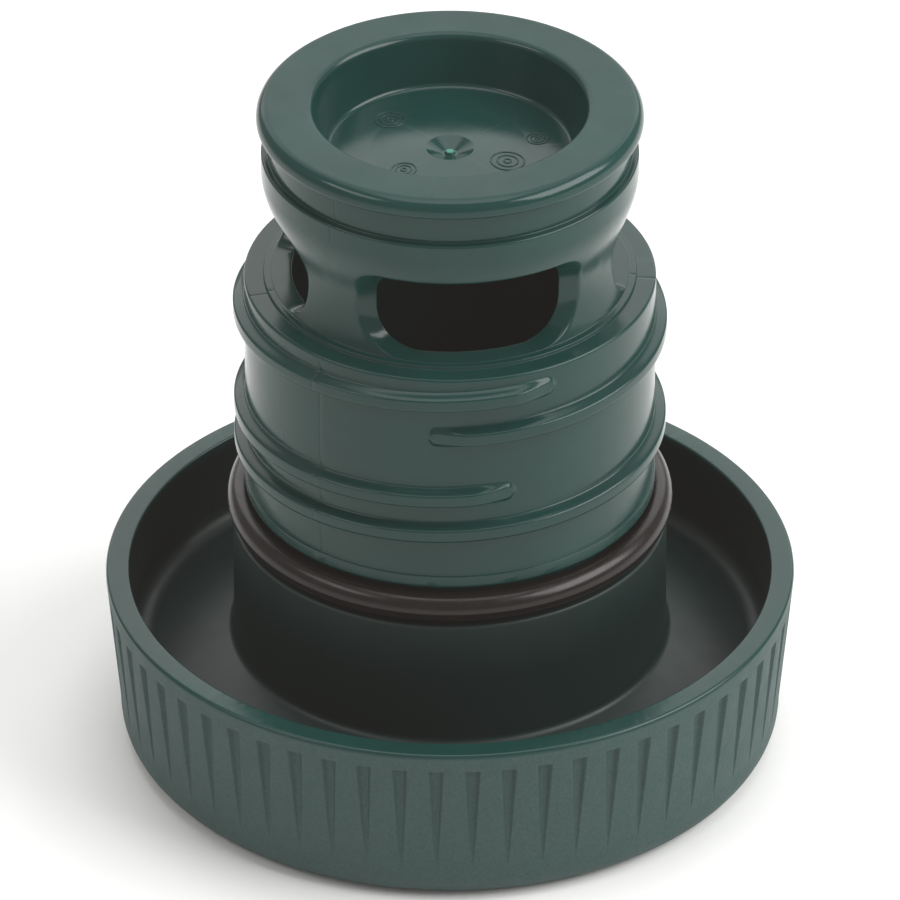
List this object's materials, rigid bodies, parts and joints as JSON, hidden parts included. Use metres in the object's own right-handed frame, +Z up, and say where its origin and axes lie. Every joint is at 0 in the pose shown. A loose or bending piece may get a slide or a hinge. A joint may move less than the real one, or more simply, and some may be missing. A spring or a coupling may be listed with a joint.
{
  "type": "vacuum jug stopper",
  "caption": "Twist-in stopper of a vacuum jug: fluted grip cap, threaded stem with a windowed cage and dished end, and a neck seal ring.",
  "frame": {"origin": "centre of the grip cap's outer face, which the stopper rests on", "axes": "+Z up along the stopper's axis, from the grip cap to the dished end; -Y is the front, next to the middle of one wide window"},
  "size_m": [0.08, 0.08, 0.0829],
  "materials": {
    "grip_plastic": "fine textured dark green polypropylene",
    "stem_plastic": "semi-gloss dark green polypropylene",
    "seal_rubber": "smooth glossy black-brown rubber",
    "foam": "rigid insulation foam"
  },
  "bodies": {
    "root": {"cap_cover": "grip_plastic", "cap_insulation_disc": "foam", "grip_cap": "grip_plastic", "bore_plug": "stem_plastic", "bore_insulation_core": "foam", "stopper_body": "stem_plastic", "neck_seal_ring": "seal_rubber"}
  },
  "joints": []
}
